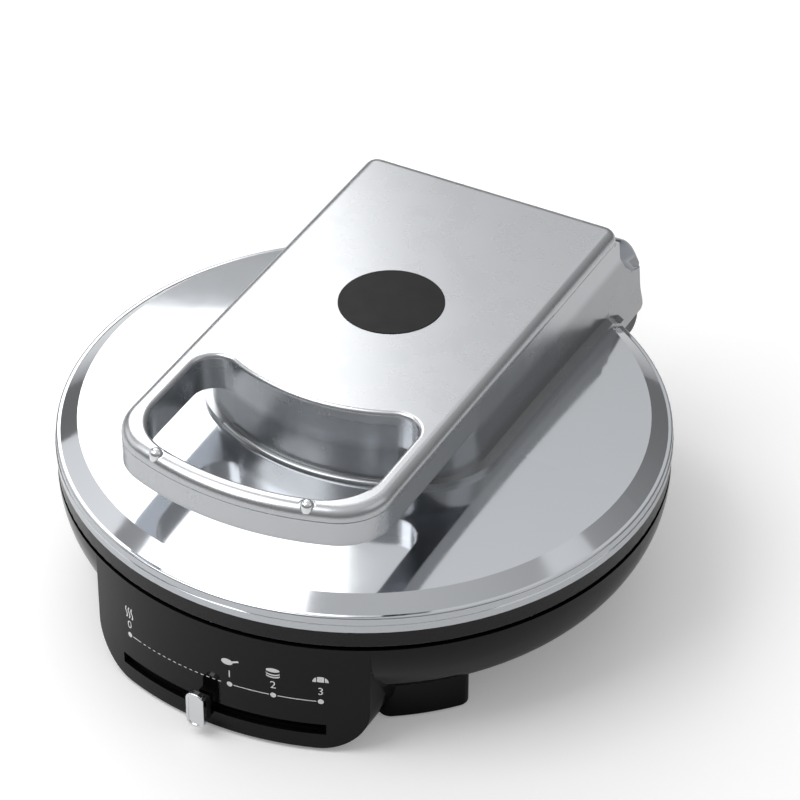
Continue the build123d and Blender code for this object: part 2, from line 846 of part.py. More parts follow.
# Selector: curved channel behind the panel, with the contact board on top
with BuildPart() as selector_track:
    with BuildSketch(Plane.XY.offset(track_bottom_z)):
        add(sector(track_inner - track_wall, track_outer + track_wall, -track_half_angle, track_half_angle))
        for side in (-1, 1):
            with Locations(polar(track_tab_ring, side * track_tab_angle)):
                Circle(track_tab_radius)
            add(
                sector(
                    track_tab_ring,
                    track_inner,
                    side * track_tab_angle - track_wall,
                    side * track_tab_angle + track_wall,
                )
            )
    extrude(amount=track_wall)
    with BuildSketch(Plane.XY.offset(track_bottom_z)):
        add(sector(track_inner - track_wall, track_outer + track_wall, -track_half_angle, track_half_angle))
        add(
            sector(track_inner, track_outer, -track_half_angle - 1, track_half_angle + 1),
            mode=Mode.SUBTRACT,
        )
    extrude(amount=track_height)
    with BuildSketch(Plane.XY.offset(slot_bottom_z - track_clearance)):
        add(
            sector(
                track_radius,
                base_radius,
                -slot_half_angle - track_slot_margin,
                slot_half_angle + track_slot_margin,
            )
        )
    extrude(amount=slot_height + 2 * track_clearance, mode=Mode.SUBTRACT)
    with BuildSketch(Plane.XY.offset(track_bottom_z + track_wall)):
        add(circles([polar(track_inner, angle) for angle in station_angles], detent_radius))
    extrude(amount=track_height, mode=Mode.SUBTRACT)
    with BuildSketch(Plane.XY.offset(track_bottom_z - 1)):
        add(circles(tab_places, screw_hole_radius))
    extrude(amount=track_wall + 2, mode=Mode.SUBTRACT)
selector_track.part.label = "selector_track"
export_step(selector_track.part, "parts/selector_track.step")

with BuildPart() as track_screws:
    add(screw_group(tab_places, track_bottom_z + track_wall, -track_wall - track_stand))
track_screws.part.label = "track_screws"
export_step(track_screws.part, "parts/track_screws.step")

with BuildPart() as selector_board:
    with BuildSketch(Plane.XY.offset(track_top_z)):
        add(sector(track_inner - track_wall, track_outer + track_wall, -track_half_angle, track_half_angle))
    extrude(amount=board_thickness)
    for angle in station_angles:
        with BuildSketch(Plane.XY.offset(track_top_z + board_thickness)):
            with Locations(Location((*polar(track_radius, angle), 0), (0, 0, angle))):
                Rectangle(blade_width, blade_thickness)
        extrude(amount=blade_length)
selector_board.part.label = "selector_board"
export_step(selector_board.part, "parts/selector_board.step")

# Slider: carriage with neck and knob stem, contact spring and chrome paddle
carriage_inner = track_inner + track_clearance
carriage_outer = track_outer - track_clearance
knob_start = base_radius + knob_gap
paddle_start = knob_start + knob_depth
slider_plane = Plane(origin=(0, 0, 0), x_dir=(1, 0, 0), z_dir=(0, -1, 0)).rotated((0, 0, slider_rest_angle))
rest_start = slider_rest_angle - carriage_half_angle
rest_end = slider_rest_angle + carriage_half_angle
spring_place = polar(track_inner + detent_radius + track_clearance, slider_rest_angle)

with BuildPart() as slider_carriage:
    with BuildSketch(Plane.XY.offset(track_bottom_z + track_wall + track_clearance)):
        add(sector(carriage_inner, carriage_outer, rest_start, rest_end))
    extrude(amount=track_height - track_wall - 2 * track_clearance)
    with BuildSketch(slider_plane.offset(track_radius)):
        with Locations((0, slot_middle_z)):
            Rectangle(neck_width, slot_height - 2 * neck_clearance)
    extrude(amount=knob_start - track_radius + 1)
    with BuildSketch(slider_plane.offset(knob_start)):
        with Locations((0, slot_middle_z)):
            RectangleRounded(knob_width, knob_height, knob_gap)
    extrude(amount=knob_depth)
    # pocket for the contact spring
    with BuildSketch(slider_plane.offset(carriage_inner - 1)):
        with Locations((0, slot_middle_z)):
            Rectangle(spring_width + 2 * track_clearance, slot_height)
    extrude(amount=2 * detent_radius + spring_sheet + 1, mode=Mode.SUBTRACT)
slider_carriage.part.label = "slider_carriage"
export_step(slider_carriage.part, "parts/slider_carriage.step")

with BuildPart() as contact_spring:
    with BuildSketch(slider_plane.offset(carriage_inner + 2 * detent_radius)):
        with Locations((0, slot_middle_z)):
            Rectangle(spring_width, slot_height - 2 * track_clearance)
    extrude(amount=spring_sheet)
    with BuildSketch(Plane.XY.offset(slot_bottom_z + track_clearance)):
        with Locations(spring_place):
            Circle(detent_radius)
        add(
            sector(
                track_inner + detent_radius + track_clearance,
                carriage_inner + 2 * detent_radius + spring_sheet / 2,
                slider_rest_angle - detent_radius / 4,
                slider_rest_angle + detent_radius / 4,
            )
        )
    extrude(amount=slot_height - 2 * track_clearance)
contact_spring.part.label = "contact_spring"
export_step(contact_spring.part, "parts/contact_spring.step")

with BuildPart() as slider_paddle:
    with BuildSketch(slider_plane.offset(paddle_start)):
        with Locations((0, paddle_center_z)):
            RectangleRounded(paddle_width, paddle_height, paddle_width * 0.4)
    extrude(amount=paddle_thickness)
    fillet(slider_paddle.edges().group_by(Axis.Y)[0], paddle_face_depth * 2)
    with BuildSketch(slider_plane.offset(paddle_start + paddle_thickness)):
        with Locations((0, paddle_center_z)):
            RectangleRounded(
                paddle_width - 3 * paddle_face_inset,
                paddle_height - 3 * paddle_face_inset,
                paddle_width * 0.4 - 1.5 * paddle_face_inset,
            )
    extrude(amount=-paddle_face_depth, mode=Mode.SUBTRACT)
slider_paddle.part.label = "slider_paddle"
export_step(slider_paddle.part, "parts/slider_paddle.step")

# Hinge link: two headed pins and the square blocks that slide in the lid's arms
block_inner_x = arm_inner_x + 0.2
block_outer_x = arm_outer_x - arm_end_wall - 0.4
pin_plan = circles([(hinge_y, hinge_z)], pin_radius)
head_plan = circles([(hinge_y, hinge_z)], pin_head_radius)
with BuildPart() as hinge_pins:
    add(mirrored_profile(pin_plan, ear_inner_x - pin_head_height / 2, block_outer_x))
    add(mirrored_profile(head_plan, ear_inner_x - pin_head_height, ear_inner_x))
hinge_pins.part.label = "hinge_pins"
export_step(hinge_pins.part, "parts/hinge_pins.step")

with BuildSketch() as block_plan:
    with Locations((hinge_y, hinge_z)):
        Rectangle(block_size, block_size)
        Circle(pin_radius, mode=Mode.SUBTRACT)
with BuildPart() as hinge_blocks:
    add(mirrored_profile(block_plan.sketch, block_inner_x, block_outer_x))
hinge_blocks.part.label = "hinge_blocks"
export_step(hinge_blocks.part, "parts/hinge_blocks.step")

# Lid frame: black ring under the chrome shell, with the two hinge arms
frame_screw_places = [polar(frame_boss_ring, 360 / frame_screw_count * k) for k in range(frame_screw_count)]
frame_seat_z = lid_bottom_z + frame_wall
barrel_z = hinge_z - float_travel / 2
arm_front_y = lid_radius - 14.0
arm_peak_z = hinge_z + arm_rise
slot_low_z = hinge_z - block_size / 2 - float_travel

with BuildSketch() as arm_plan:
    add(
        outline(
            (arm_front_y - 9, lid_bottom_z),
            (hinge_y - 6, lid_bottom_z),
            (hinge_y + barrel_radius, barrel_z),
            (hinge_y + barrel_radius, hinge_z),
            (hinge_y + barrel_radius / 2, hinge_z + barrel_radius),
            (hinge_y + barrel_radius / 4, arm_peak_z - barrel_radius / 2),
            (hinge_y - barrel_radius / 4, arm_peak_z),
            (arm_front_y, arm_peak_z),
            (arm_front_y, frame_top_z),
            (arm_front_y - 9, frame_top_z),
        )
    )
    with Locations((hinge_y, barrel_z)):
        Circle(barrel_radius)
with BuildSketch() as slot_plan:
    with Locations((hinge_y, slot_low_z)):
        Rectangle(
            block_size + 2 * block_clearance,
            block_size + float_travel,
            align=(Align.CENTER, Align.MIN),
        )

with BuildPart() as lid_frame:
    with BuildSketch(Plane.XZ) as frame_section_plan:
        add(
            outline(
                (frame_inner_radius, lid_bottom_z),
                (frame_radius, lid_bottom_z),
                (frame_radius, frame_top_z),
                (frame_radius - frame_wall, frame_top_z),
                (frame_radius - frame_wall, frame_seat_z),
                (frame_inner_radius + frame_wall, frame_seat_z),
                (frame_inner_radius + frame_wall, frame_top_z),
                (frame_inner_radius, frame_top_z),
            )
        )
        fillet(frame_section_plan.vertices().group_by(Axis.Y)[0].sort_by(Axis.X)[-1], frame_edge_round)
    revolve(axis=Axis.Z)
    add(mirrored_profile(arm_plan.sketch, arm_inner_x, arm_outer_x))
    with BuildSketch(Plane.XY.offset(lid_bottom_z + frame_wall / 2)):
        add(circles(frame_screw_places, frame_boss_radius))
    extrude(amount=frame_height - frame_wall / 2)
    # slots for the sliding blocks
    add(
        mirrored_profile(slot_plan.sketch, arm_inner_x - 1, arm_outer_x - arm_end_wall),
        mode=Mode.SUBTRACT,
    )
    with BuildSketch(Plane.XY.offset(lid_bottom_z)):
        add(circles(frame_screw_places, counterbore_radius))
    extrude(amount=screw_head_height, mode=Mode.SUBTRACT)
    with BuildSketch(Plane.XY.offset(lid_bottom_z)):
        add(circles(frame_screw_places, screw_hole_radius))
    extrude(amount=frame_height, mode=Mode.SUBTRACT)
lid_frame.part.label = "lid_frame"
export_step(lid_frame.part, "parts/lid_frame.step")

with BuildPart() as frame_screws:
    add(
        screw_group(
            frame_screw_places,
            lid_bottom_z + screw_head_height,
            frame_height - screw_head_height + shield_sheet + thread_length,
        )
    )
frame_screws.part.label = "frame_screws"
export_step(frame_screws.part, "parts/frame_screws.step")

# Lid shell: plated band, sloping shoulder and slightly domed top
shoulder_drop = lid_wall * math.hypot(1, shoulder_slope)
edge_shift = (shoulder_drop - lid_wall) / (shoulder_slope - 2 * dome_rise / shoulder_radius)
inner_edge_r = shoulder_radius - edge_shift
inner_edge_z = shoulder_top_z - shoulder_drop + edge_shift * shoulder_slope
inner_rim_r = lid_radius - lid_wall
inner_rim_z = band_top_z - (inner_rim_r - land_radius) * shoulder_slope - shoulder_drop
inner_top_z = dome_top_z - lid_wall

with BuildPart() as lid_shell:
    with BuildSketch(Plane.XZ):
        with BuildLine():
            Polyline(
                (0, dome_top_z),
                (0, inner_top_z),
            )
            ThreePointArc(
                (0, inner_top_z),
                (inner_edge_r / 2, inner_top_z - (inner_top_z - inner_edge_z) / 4),
                (inner_edge_r, inner_edge_z),
            )
            Polyline(
                (inner_edge_r, inner_edge_z),
                (inner_rim_r, inner_rim_z),
                (inner_rim_r, frame_top_z),
                (lid_radius, frame_top_z),
                (lid_radius, frame_top_z + band_step_height),
                (lid_radius - band_step, frame_top_z + band_step_height + band_step),
                (lid_radius - band_step, band_top_z - rim_round),
            )
            RadiusArc(
                (lid_radius - band_step, band_top_z - rim_round),
                (lid_radius - band_step - rim_round, band_top_z),
                -rim_round,
            )
            Polyline(
                (lid_radius - band_step - rim_round, band_top_z),
                (land_radius, band_top_z),
                (shoulder_radius, shoulder_top_z),
            )
            ThreePointArc(
                (shoulder_radius, shoulder_top_z),
                (shoulder_radius / 2, dome_top_z - dome_rise / 4),
                (0, dome_top_z),
            )
        make_face()
    revolve(axis=Axis.Z)
    with BuildSketch(Plane.XY.offset(frame_top_z + shield_sheet)):
        add(circles(frame_screw_places, frame_boss_radius))
    extrude(amount=band_height - rim_round - shield_sheet)
    for place in post_places:
        dome_drop = dome_rise * (math.hypot(*place) / shoulder_radius) ** 2
        with BuildSketch(Plane.XY.offset(pad_bottom_z)):
            with Locations(place):
                Circle(pad_radius)
        extrude(amount=dome_top_z - dome_drop - lid_wall * 0.7 - pad_bottom_z)
    with BuildSketch(Plane.XY.offset(frame_top_z)):
        add(circles(frame_screw_places, pilot_radius))
    extrude(amount=band_height - 2 * rim_round, mode=Mode.SUBTRACT)
    with BuildSketch(Plane.XY.offset(frame_top_z)):
        add(circles(post_places, screw_hole_radius))
        with Locations((0, cable_hole_y)):
            Circle(cable_hole_radius)
    extrude(amount=dome_top_z, mode=Mode.SUBTRACT)
lid_shell.part.label = "lid_shell"
export_step(lid_shell.part, "parts/lid_shell.step")

# Upper cooking plate, mirrored copy of the lower one and shallower
with BuildPart() as upper_plate:
    with BuildSketch(Plane.XZ):
        add(plate_section(upper_face_z, upper_back_z, upper_rim_z, upper_rim_z + plate_flange))
    revolve(axis=Axis.Z)
    with BuildSketch(Plane.XY.offset(upper_back_z)):
        add(
            sector(
                heater_radius - rib_width / 2,
                heater_radius + rib_width / 2,
                rib_gap_angle - 180,
                180 - rib_gap_angle,
            )
        )
    extrude(amount=rib_height)
    with BuildSketch(Plane.XY.offset(upper_back_z)):
        add(circles(boss_places, plate_boss_radius))
    extrude(amount=plate_boss_height)
    with BuildSketch(Plane.XZ):
        with Locations((heater_radius, upper_back_z + rib_height)):
            Circle(heater_tube + heater_clearance)
    revolve(axis=Axis.Z, mode=Mode.SUBTRACT)
    with BuildSketch(Plane.XY.offset(upper_boss_z)):
        add(circles(boss_places, pilot_radius))
    extrude(amount=-plate_boss_height, mode=Mode.SUBTRACT)
upper_plate.part.label = "upper_plate"
export_step(upper_plate.part, "parts/upper_plate.step")

with BuildPart() as upper_heater:
    add(heater_part(upper_back_z + rib_height))
upper_heater.part.label = "upper_heater"
export_step(upper_heater.part, "parts/upper_heater.step")

with BuildPart() as upper_thermostat:
    add(thermostat_part((0, fuse_y), upper_back_z, 1))
upper_thermostat.part.label = "upper_thermostat"
export_step(upper_thermostat.part, "parts/upper_thermostat.step")

# Upper heat shield, clamped between the frame and the lid shell
with BuildPart() as upper_heat_shield:
    with BuildSketch(Plane.XZ):
        add(
            outline(
                (0, upper_boss_z),
                (upper_shield_radius, upper_boss_z),
                (upper_shield_radius + shield_slope, frame_top_z),
                (shield_edge, frame_top_z),
                (shield_edge, frame_top_z + shield_sheet),
                (upper_shield_radius + shield_slope + shield_sheet / 2, frame_top_z + shield_sheet),
                (upper_shield_radius + shield_sheet / 2, upper_boss_z + shield_sheet),
                (0, upper_boss_z + shield_sheet),
            )
        )
    revolve(axis=Axis.Z)
    with BuildSketch(Plane.XY.offset(frame_top_z - 1)):
        add(circles(boss_places + frame_screw_places, screw_hole_radius))
        with Locations((0, cable_hole_y)):
            Circle(cable_hole_radius)
    extrude(amount=plate_boss_height + 4, mode=Mode.SUBTRACT)
upper_heat_shield.part.label = "upper_heat_shield"
export_step(upper_heat_shield.part, "parts/upper_heat_shield.step")

with BuildPart() as upper_plate_screws:
    add(screw_group(boss_places, upper_boss_z + shield_sheet, -shield_sheet - thread_length))
upper_plate_screws.part.label = "upper_plate_screws"
export_step(upper_plate_screws.part, "parts/upper_plate_screws.step")

# Handle base: pedestal, foot bead, loop channel and the covers of the hinge arms
lug_start_y = arm_front_y - 16
lug_rear_y = hinge_y + barrel_radius / 2 + lug_clearance + lug_wall
lug_heel_y = hinge_y + barrel_radius * 0.8 + lug_wall
lug_end_y = lug_rear_y - lug_end_radius
lug_end_z = handle_part_z - lug_end_radius * 2.7
with BuildSketch() as lug_plan:
    with BuildLine():
        ThreePointArc(
            (handle_back - 1, handle_part_z - 2),
            (lug_end_y + lug_end_radius * 0.3, lug_end_z + lug_end_radius * 0.8),
            (lug_rear_y, lug_end_z - lug_end_radius),
        )
        Polyline(
            (lug_rear_y, lug_end_z - lug_end_radius),
            (lug_rear_y, arm_peak_z),
            (lug_heel_y, lug_bottom_z + 5),
            (lug_heel_y, lug_bottom_z + 2),
            (lug_heel_y - 2, lug_bottom_z),
            (lug_start_y, lug_bottom_z),
            (lug_start_y, handle_part_z - 2),
            (handle_back - 1, handle_part_z - 2),
        )
    make_face()
with BuildSketch() as pocket_plan:
    add(
        outline(
            (arm_front_y - lug_clearance, frame_top_z),
            (lug_start_y - 1, frame_top_z),
            (lug_start_y - 1, frame_top_z - 5),
            (hinge_y + barrel_radius + lug_clearance, frame_top_z - 5),
            (hinge_y + barrel_radius * 0.8, frame_top_z - 0.5),
            (hinge_y + barrel_radius / 2 + lug_clearance, hinge_z + barrel_radius + lug_clearance),
            (hinge_y + barrel_radius / 4 + lug_clearance, arm_peak_z - barrel_radius / 2 + lug_clearance),
            (hinge_y - barrel_radius / 4 + lug_clearance, arm_peak_z + lug_clearance),
            (arm_front_y - lug_clearance, arm_peak_z + lug_clearance),
        )
    )
pin_notch_plan = outline(
    (hinge_y - pin_radius - lug_clearance, lug_bottom_z - barrel_radius),
    (hinge_y + pin_radius + lug_clearance, lug_bottom_z - barrel_radius),
    (hinge_y + pin_radius + lug_clearance, hinge_z + pin_radius + pin_notch),
    (hinge_y - pin_radius - lug_clearance, hinge_z + pin_radius + pin_notch),
)
with BuildPart() as lugs:
    for side in (-1, 1):
        for level, outer_x in ((frame_top_z, foot_half_width), (handle_part_z, handle_half_width)):
            with BuildSketch(Plane.XY.offset(level)):
                add(
                    outline(
                        (side * lug_inner_x, lug_start_y),
                        (side * outer_x, lug_start_y),
                        (side * outer_x, lug_rear_y + 5),
                        (side * lug_inner_x, lug_rear_y + 5),
                    )
                )
        loft(ruled=True)
        with BuildSketch(Plane.XY.offset(lug_bottom_z)):
            add(
                outline(
                    (side * lug_inner_x, lug_start_y),
                    (side * foot_half_width, lug_start_y),
                    (side * foot_half_width, lug_rear_y + 5),
                    (side * lug_inner_x, lug_rear_y + 5),
                )
            )
        extrude(amount=lug_drop)
    add(mirrored_profile(lug_plan.sketch, lug_inner_x - 1, foot_half_width + 1), mode=Mode.INTERSECT)
    add(mirrored_profile(pin_notch_plan, lug_inner_x - 1, arm_inner_x), mode=Mode.SUBTRACT)
    # sloping edge along the top, from the side wall up to the lug's curve
    for side in (-1, 1):
        for slope_x, drop in ((arm_inner_x + lug_wall * 2, 0), (foot_half_width + 1, lug_edge_drop)):
            with BuildSketch(Plane.YZ.offset(side * slope_x)):
                add(
                    outline(
                        (handle_back - 1, handle_part_z - 2 - drop),
                        (lug_end_y - 5 - 0.4 * drop, lug_end_z + 13.9 - 1.2 * drop),
                        (lug_end_y + 2.5 - 0.4 * drop, lug_end_z + 6.6 - 1.1 * drop),
                        (lug_rear_y - 0.1 * drop, lug_end_z - lug_end_radius - 0.2 * drop),
                        (lug_rear_y + 6, lug_end_z - lug_end_radius - 0.2 * drop),
                        (lug_rear_y + 6, handle_top_z),
                        (handle_back - 1, handle_top_z),
                    )
                )
        loft(ruled=True, mode=Mode.SUBTRACT)

# foot bead that follows the lid round the pedestal
with BuildPart() as foot_bead:
    with BuildSketch(Plane.XY.offset(frame_top_z)):
        add(pedestal_outline(foot_half_width, bead_width, pedestal_back_corner))
    extrude(amount=dome_top_z + bead_height - frame_top_z)
    add(lid_space(bead_height), mode=Mode.INTERSECT)
    add(pedestal_block(-pedestal_wall), mode=Mode.SUBTRACT)

with BuildPart() as handle_base:
    add(pedestal_block(0))
    add(foot_bead.part)
    with BuildSketch(Plane.XY.offset(loop_bottom_z)):
        add(handle_outline(loop_step))
        add(finger_outline(0), mode=Mode.SUBTRACT)
    extrude(amount=loop_height)
    with BuildSketch(Plane.XY.offset(frame_top_z)):
        add(finger_outline(0))
    extrude(amount=handle_part_z - frame_top_z, mode=Mode.SUBTRACT)
    add(lugs.part)
    with BuildSketch(Plane.XY.offset(loop_bottom_z + handle_wall)):
        add(handle_outline(handle_wall))
        add(finger_outline(handle_wall), mode=Mode.SUBTRACT)
    extrude(amount=loop_height, mode=Mode.SUBTRACT)
    add(pedestal_block(-pedestal_wall), mode=Mode.SUBTRACT)
    # pockets over the hinge arms
    add(
        mirrored_profile(pocket_plan.sketch, arm_inner_x - lug_clearance, arm_outer_x + lug_clearance),
        mode=Mode.SUBTRACT,
    )
    add(lid_space(0), mode=Mode.SUBTRACT)
handle_base.part.label = "handle_base"
export_step(handle_base.part, "parts/handle_base.step")

# Handle cover: top plate of the handle, with the badge recess and stud seats
stud_front = -handle_front + handle_bow - math.sqrt(handle_bow**2 - stud_x**2)
stud_places = [(side * stud_x, stud_front + stud_inset) for side in (-1, 1)]
with BuildPart() as handle_cover:
    with BuildSketch(Plane.XY.offset(handle_part_z)):
        add(handle_outline(0))
        add(finger_outline(0), mode=Mode.SUBTRACT)
    extrude(amount=handle_top_z - handle_part_z)
    top_edges = handle_cover.faces().sort_by(Axis.Z)[-1]
    fillet(top_edges.outer_wire().edges(), cover_edge_round)
    fillet(handle_cover.faces().sort_by(Axis.Z)[-1].inner_wires()[0].edges(), opening_edge_round)
    chamfer(handle_cover.faces().sort_by(Axis.Z)[0].outer_wire().edges(), part_bevel)
    with BuildSketch(Plane.XY.offset(handle_part_z)):
        add(handle_outline(handle_wall))
        add(finger_outline(handle_wall), mode=Mode.SUBTRACT)
        add(circles(stud_places, stud_pad), mode=Mode.SUBTRACT)
    extrude(amount=handle_top_z - handle_part_z - handle_wall, mode=Mode.SUBTRACT)
    # posts that reach down to the lid, where the handle's screws come up
    with BuildSketch(Plane.XY.offset(frame_top_z)):
        add(circles(post_places, post_radius))
    extrude(amount=handle_top_z - handle_wall / 2 - frame_top_z)
    add(lid_space(0), mode=Mode.SUBTRACT)
    with BuildSketch(Plane.XY.offset(frame_top_z)):
        add(circles(post_places, pilot_radius))
    extrude(amount=dome_top_z + 2 * thread_length + 2 - frame_top_z, mode=Mode.SUBTRACT)
    with BuildSketch(Plane.XY.offset(handle_top_z)):
        with Locations((0, badge_y)):
            Circle(badge_radius)
    extrude(amount=-badge_recess, mode=Mode.SUBTRACT)
    # small flat round each stud
    with BuildSketch(Plane.XY.offset(handle_top_z - stud_notch)):
        add(circles(stud_places, stud_pad))
    extrude(amount=cover_height, mode=Mode.SUBTRACT)
    with BuildSketch(Plane.XY.offset(handle_top_z)):
        add(circles(stud_places, stud_radius + stud_clearance))
    extrude(amount=-stud_seat_depth, mode=Mode.SUBTRACT)
handle_cover.part.label = "handle_cover"
export_step(handle_cover.part, "parts/handle_cover.step")

with BuildPart() as handle_screws:
    add(screw_group(post_places, pad_bottom_z, dome_top_z - pad_bottom_z + 2 * thread_length))
handle_screws.part.label = "handle_screws"
export_step(handle_screws.part, "parts/handle_screws.step")

with BuildPart() as badge_disc:
    with BuildSketch(Plane.XY.offset(handle_top_z - badge_recess)):
        with Locations((0, badge_y)):
            Circle(badge_radius - badge_clearance)
    extrude(amount=badge_thickness)
    chamfer(badge_disc.edges().group_by(Axis.Z)[-1], badge_clearance)
badge_disc.part.label = "badge_disc"
export_step(badge_disc.part, "parts/badge_disc.step")

with BuildPart() as rest_studs:
    with BuildSketch(Plane.XY.offset(handle_top_z - stud_seat_depth)):
        add(circles(stud_places, stud_radius))
    extrude(amount=stud_seat_depth + stud_height)
    fillet(rest_studs.edges().group_by(Axis.Z)[-1], stud_radius * 0.95)
rest_studs.part.label = "rest_studs"
export_step(rest_studs.part, "parts/rest_studs.step")
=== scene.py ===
"""Looks of the electric baking pan: finishes, panel print, floor, light and camera.

Two forms that the solids lack are made here as well: the bead across the finger
opening and the rounded ends of the hinge lugs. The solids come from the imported
model and are never moved. Sizes are in millimetres, unless a comment says
metres, and become metres where a mesh or a node needs them.
"""
import math

import bmesh
import bpy
from mathutils import Euler, Matrix, Vector


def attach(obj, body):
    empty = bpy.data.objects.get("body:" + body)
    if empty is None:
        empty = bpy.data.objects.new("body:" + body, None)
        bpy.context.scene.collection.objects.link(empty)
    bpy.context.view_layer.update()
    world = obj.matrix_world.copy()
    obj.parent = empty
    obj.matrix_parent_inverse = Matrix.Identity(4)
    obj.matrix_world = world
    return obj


MM = 0.001

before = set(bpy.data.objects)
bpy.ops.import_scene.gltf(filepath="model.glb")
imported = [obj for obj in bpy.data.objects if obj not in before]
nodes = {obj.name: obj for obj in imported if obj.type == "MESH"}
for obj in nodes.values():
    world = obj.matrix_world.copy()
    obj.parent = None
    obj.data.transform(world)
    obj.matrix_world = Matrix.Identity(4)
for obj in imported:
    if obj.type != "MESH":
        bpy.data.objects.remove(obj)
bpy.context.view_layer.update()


def put(name, data):
    """Adds an object with this data to the scene."""
    made = bpy.data.objects.new(name, data)
    bpy.context.scene.collection.objects.link(made)
    return made


# Helpers for materials

def linear(code):
    """Linear colour of an sRGB hex value."""
    parts = [int(code[i : i + 2], 16) / 255 for i in (1, 3, 5)]
    return [c / 12.92 if c <= 0.04045 else ((c + 0.055) / 1.055) ** 2.4 for c in parts] + [1.0]


def add_node(tree, kind, links=(), values=(), **settings):
    """Adds a node, sets its properties and input values, and links its inputs."""
    made = tree.nodes.new(kind)
    for name, value in settings.items():
        setattr(made, name, value)
    for socket, value in dict(values).items():
        made.inputs[socket].default_value = value
    for socket, source in dict(links).items():
        tree.links.new(source, made.inputs[socket])
    return made


def start_material(name, color, metallic, roughness, **values):
    """Principled material; returns it with its tree, shader and object coordinates."""
    made = bpy.data.materials.new(name)
    made.use_nodes = True
    tree = made.node_tree
    shader = tree.nodes["Principled BSDF"]
    shader.inputs["Base Color"].default_value = linear(color)
    shader.inputs["Metallic"].default_value = metallic
    shader.inputs["Roughness"].default_value = roughness
    for socket, value in values.items():
        shader.inputs[socket.replace("_", " ")].default_value = value
    place = add_node(tree, "ShaderNodeTexCoord")
    return made, tree, shader, place.outputs["Object"]


def noise(tree, place, size, detail=2.0, stretch=(1, 1, 1)):
    """Noise whose blotches are about `size` millimetres across."""
    mapped = add_node(
        tree,
        "ShaderNodeMapping",
        links={"Vector": place},
        values={"Scale": [s / (size * MM) for s in stretch]},
    )
    return add_node(
        tree,
        "ShaderNodeTexNoise",
        links={"Vector": mapped.outputs["Vector"]},
        values={"Scale": 1.0, "Detail": detail},
    ).outputs["Fac"]


def mask(tree, value, low, high):
    """Mask that is 0 up to the low value and 1 from the high value on."""
    return add_node(
        tree,
        "ShaderNodeMapRange",
        links={"Value": value},
        values={"From Min": low, "From Max": high},
    ).outputs["Result"]


def combine(tree, operation, links, values=()):
    """Result of a math operation on two numbers."""
    made = add_node(tree, "ShaderNodeMath", links=links, values=values, operation=operation)
    return made.outputs[0]


def vary_roughness(tree, shader, fac, low, high):
    """Roughness that runs from low to high over the middle of a noise."""
    spread = add_node(
        tree,
        "ShaderNodeMapRange",
        links={"Value": fac},
        values={"From Min": 0.3, "From Max": 0.7, "To Min": low, "To Max": high},
    )
    tree.links.new(spread.outputs["Result"], shader.inputs["Roughness"])


def vary_color(tree, shader, fac, first, second):
    """Base colour that runs from the first to the second sRGB value."""
    tint = add_node(
        tree,
        "ShaderNodeMix",
        links={"Factor": fac},
        values={"A": linear(first), "B": linear(second)},
        data_type="RGBA",
    )
    tree.links.new(tint.outputs[2], shader.inputs["Base Color"])


def relief(tree, shader, height, depth, strength):
    """Bump of the given depth in millimetres."""
    bump = add_node(
        tree,
        "ShaderNodeBump",
        links={"Height": height},
        values={"Strength": strength, "Distance": depth * MM},
    )
    tree.links.new(bump.outputs["Normal"], shader.inputs["Normal"])


# Plated ABS of the handle: silver plating under a satin lacquer, which gives a soft,
# slightly cloudy reflection
satin_plating, tree, shader, place = start_material("satin_plated_abs", "#C2C4C7", 1.0, 0.27)
vary_roughness(tree, shader, noise(tree, place, 22, 3.0), 0.25, 0.3)
relief(tree, shader, noise(tree, place, 0.7, 1.0), 0.01, 0.25)

# Lower moulding of the handle: the same plating, with painted shade that makes the pedestal greyer
# than the loop above it; the painted shade fades out between these two heights, in metres
PEDESTAL_TOP, LOOP_BOTTOM = 0.127, 0.133
lower_plating, tree, shader, place = start_material("plated_abs_painted_shade", "#B9BBBD", 1.0, 0.24)
level = add_node(tree, "ShaderNodeSeparateXYZ", links={0: place}).outputs["Z"]
painted_shade_fade = mask(tree, level, PEDESTAL_TOP, LOOP_BOTTOM)
vary_roughness(tree, shader, noise(tree, place, 18, 3.0), 0.22, 0.28)
# painted shade: the pedestal's darker grey stands in for shade, and the loop keeps the plain
# plating colour
vary_color(tree, shader, painted_shade_fade, "#A4A6A8", "#C2C4C7")
relief(tree, shader, noise(tree, place, 0.7, 1.0), 0.01, 0.3)

# Plated ABS of the lid: brighter plating over a thin moulding, whose faint waves
# bend the reflections
bright_plating, tree, shader, place = start_material("bright_plated_abs", "#BFC2C6", 1.0, 0.08)
vary_roughness(tree, shader, noise(tree, place, 30, 2.0), 0.06, 0.1)
relief(tree, shader, noise(tree, place, 40, 1.0), 0.03, 0.2)

# Rounded ends of the hinge lugs: the same plating, smoother; its darker base colour is a painted
# dark reflection, not a darker finish
lug_painted_reflection_plating, tree, shader, place = start_material("plated_abs_painted_dark_reflection", "#82868C", 1.0, 0.17)
vary_roughness(tree, shader, noise(tree, place, 18, 3.0), 0.14, 0.2)

# Polished chrome on the paddle and studs
chrome, tree, shader, place = start_material("polished_chrome", "#E6E8EA", 1.0, 0.06)
vary_roughness(tree, shader, noise(tree, place, 4, 2.0), 0.04, 0.09)

# Moulded ABS of the base, high-gloss: black with the slight waviness of a moulding
gloss_black, tree, shader, place = start_material(
    "gloss_black_abs", "#0B0B0D", 0.0, 0.1, IOR=1.45, Specular_IOR_Level=0.25
)
vary_roughness(tree, shader, noise(tree, place, 16, 2.0), 0.07, 0.14)
relief(tree, shader, noise(tree, place, 5, 1.0), 0.02, 0.25)

# Moulded ABS of the ring: the same plastic from a less polished mould
ring_black, tree, shader, place = start_material(
    "semi_gloss_black_abs", "#0E0E10", 0.0, 0.26, IOR=1.45, Specular_IOR_Level=0.35
)
vary_roughness(tree, shader, noise(tree, place, 9, 2.0), 0.22, 0.32)
relief(tree, shader, noise(tree, place, 0.8, 1.0), 0.01, 0.3)

